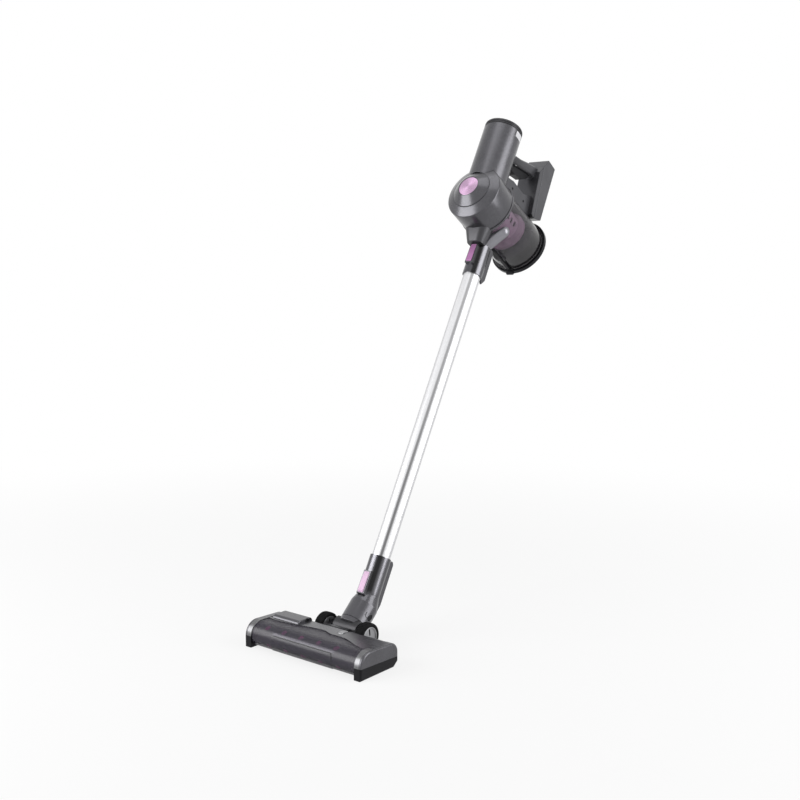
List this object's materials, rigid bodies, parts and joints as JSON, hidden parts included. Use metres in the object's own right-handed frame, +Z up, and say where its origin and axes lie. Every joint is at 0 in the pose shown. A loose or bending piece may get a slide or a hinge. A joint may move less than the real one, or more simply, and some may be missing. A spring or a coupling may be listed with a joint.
{
  "type": "cordless stick vacuum",
  "caption": "Cordless stick vacuum: powered floor head with roller, swivelling neck, metal wand, hand unit with cyclone cup, motor barrel and battery handle.",
  "frame": {"origin": "on the floor under the middle of the floor head, just ahead of its rear wiper strip", "axes": "+X along the floor head to its right as the user stands behind it, +Y backwards from the head towards the user, +Z up; the wand leans 29.1 degrees back from +Z towards +Y"},
  "size_m": [0.251, 0.7185, 0.8992],
  "materials": {
    "dark_grey": "satin",
    "black": "matt",
    "rubber": "matt",
    "tyre": "matt",
    "smoke": "gloss, translucent",
    "window": "gloss, translucent",
    "purple_plastic": "gloss, translucent",
    "purple_metal": "brushed, anodised",
    "purple_button": "satin",
    "pink_button": "satin",
    "tube": "brushed",
    "steel": "plain",
    "motor": "plain",
    "silver": "polished",
    "magenta": "bristle",
    "brush_core": "satin",
    "filter": "pleated",
    "white": "gloss",
    "copper": "plain"
  },
  "bodies": {
    "handheld": {"inlet_collar": "dark_grey", "inlet_pipe": "dark_grey", "collar_web": "dark_grey", "drum_housing": "dark_grey", "barrel_housing": "dark_grey", "indicator_window": "white", "motor_can": "motor", "dust_cup": "smoke", "cyclone_shroud": "purple_plastic", "handle_left": "dark_grey", "handle_right": "dark_grey", "hinge_pins": "steel", "battery_rail": "black", "body_screws": "steel"},
    "trigger_lever": {"trigger": "dark_grey"},
    "filter_unit": {"filter_cap": "dark_grey", "cap_disc": "purple_metal", "pre_filter": "filter"},
    "exhaust_unit": {"exhaust_cap": "dark_grey", "exhaust_filter": "filter"},
    "suction_rotor": {"impeller": "motor"},
    "lid": {"cup_lid": "dark_grey", "lid_seal": "rubber"},
    "lid_slider": {"lid_release": "black"},
    "battery": {"battery_case": "dark_grey", "charge_jack": "black"},
    "battery_catch": {"battery_button": "black"},
    "inlet_catch": {"inlet_button": "purple_button"},
    "wand": {"wand_tube": "tube", "wand_contacts": "black"},
    "neck": {"neck_elbow": "dark_grey", "swivel_keepers": "black"},
    "neck_catch": {"head_button": "pink_button"},
    "yoke": {"pivot_drum": "black", "swivel_ring": "dark_grey"},
    "floor_head": {"chassis": "black", "sole_plate": "black", "sole_screws": "steel", "rear_wiper": "rubber", "brush_window": "window", "top_cover": "dark_grey", "motor_cover": "dark_grey", "end_cap_left": "dark_grey", "end_cap_right": "dark_grey", "bumper_left": "rubber", "bumper_right": "rubber", "cap_trims": "silver", "brush_bearings": "copper", "drive_belt": "rubber", "drive_motor": "motor", "wheel_axles": "steel"},
    "cover_catch": {"cover_latch": "silver"},
    "wheel_left": {"tyre_left": "tyre", "wheel_hub_left": "silver"},
    "wheel_right": {"tyre_right": "tyre", "wheel_hub_right": "silver"},
    "brush": {"brush_core": "brush_core", "brush_tufts": "magenta"},
    "drive_rotor": {"motor_pulley": "steel"}
  },
  "joints": [
    {"name": "trigger_pull", "type": "hinge", "parent": "handheld", "child": "trigger_lever", "pos_m": [0, 0.54722, 0.81697], "axis": [1, 0, 0], "range_deg": [0, 6], "stiffness_Nm_per_rad": 2, "springref_deg": -171.89},
    {"name": "filter_pull", "type": "slide", "parent": "handheld", "child": "filter_unit", "axis": [0, -0.8517, 0.524], "range_m": [0, 0.06]},
    {"name": "exhaust_lift", "type": "slide", "parent": "handheld", "child": "exhaust_unit", "axis": [0, 0.4863, 0.8738], "range_m": [0, 0.03]},
    {"name": "impeller_spin", "type": "hinge", "parent": "handheld", "child": "suction_rotor", "pos_m": [0, 0.47572, 0.79954], "axis": [0, 0.4863, 0.8738], "continuous": true},
    {"name": "lid_swing", "type": "hinge", "parent": "handheld", "child": "lid", "pos_m": [0, 0.60647, 0.70798], "axis": [1, 0, 0], "range_deg": [0, 85]},
    {"name": "lid_release_slide", "type": "slide", "parent": "handheld", "child": "lid_slider", "axis": [0, -0.8517, 0.524], "range_m": [0, 0.006], "stiffness_N_per_m": 300, "springref_m": -0.002},
    {"name": "battery_slide", "type": "slide", "parent": "handheld", "child": "battery", "axis": [0, 0.3298, 0.9441], "range_m": [0, 0.05]},
    {"name": "battery_catch_press", "type": "slide", "parent": "battery", "child": "battery_catch", "axis": [0, -0.8738, 0.4863], "range_m": [0, 0.0025], "stiffness_N_per_m": 400, "springref_m": -0.001},
    {"name": "inlet_catch_press", "type": "slide", "parent": "handheld", "child": "inlet_catch", "axis": [0, 0.8738, -0.4863], "range_m": [0, 0.0022], "stiffness_N_per_m": 400, "springref_m": -0.001},
    {"name": "wand_pull", "type": "slide", "parent": "handheld", "child": "wand", "axis": [0, -0.4863, -0.8738], "range_m": [0, 0.045]},
    {"name": "neck_pull", "type": "slide", "parent": "wand", "child": "neck", "axis": [0, -0.4863, -0.8738], "range_m": [0, 0.045]},
    {"name": "neck_catch_press", "type": "slide", "parent": "neck", "child": "neck_catch", "axis": [0, 0.8738, -0.4863], "range_m": [0, 0.0022], "stiffness_N_per_m": 400, "springref_m": -0.001},
    {"name": "neck_swivel", "type": "hinge", "parent": "neck", "child": "yoke", "pos_m": [0, 0.07505, 0.0232], "axis": [0, 0.7431, 0.6691], "range_deg": [-60, 60]},
    {"name": "head_pitch", "type": "hinge", "parent": "yoke", "child": "floor_head", "pos_m": [0, 0.07505, 0.0232], "axis": [1, 0, 0], "range_deg": [-29, 30]},
    {"name": "cover_catch_slide", "type": "slide", "parent": "floor_head", "child": "cover_catch", "axis": [0, 1, 0], "range_m": [0, 0.004], "stiffness_N_per_m": 300, "springref_m": -0.001},
    {"name": "wheel_left_spin", "type": "hinge", "parent": "floor_head", "child": "wheel_left", "pos_m": [-0.04435, 0.0637, 0.0232], "axis": [1, 0, 0], "continuous": true},
    {"name": "wheel_right_spin", "type": "hinge", "parent": "floor_head", "child": "wheel_right", "pos_m": [0.04435, 0.0637, 0.0232], "axis": [1, 0, 0], "continuous": true},
    {"name": "brush_spin", "type": "hinge", "parent": "floor_head", "child": "brush", "pos_m": [0, -0.021, 0.0185], "axis": [1, 0, 0], "continuous": true},
    {"name": "drive_rotor_spin", "type": "hinge", "parent": "floor_head", "child": "drive_rotor", "pos_m": [-0.1, 0.021, 0.028], "axis": [1, 0, 0], "continuous": true}
  ],
  "couplings": [
    {"joint": "drive_rotor_spin", "follows": "brush_spin", "ratio": 2}
  ]
}
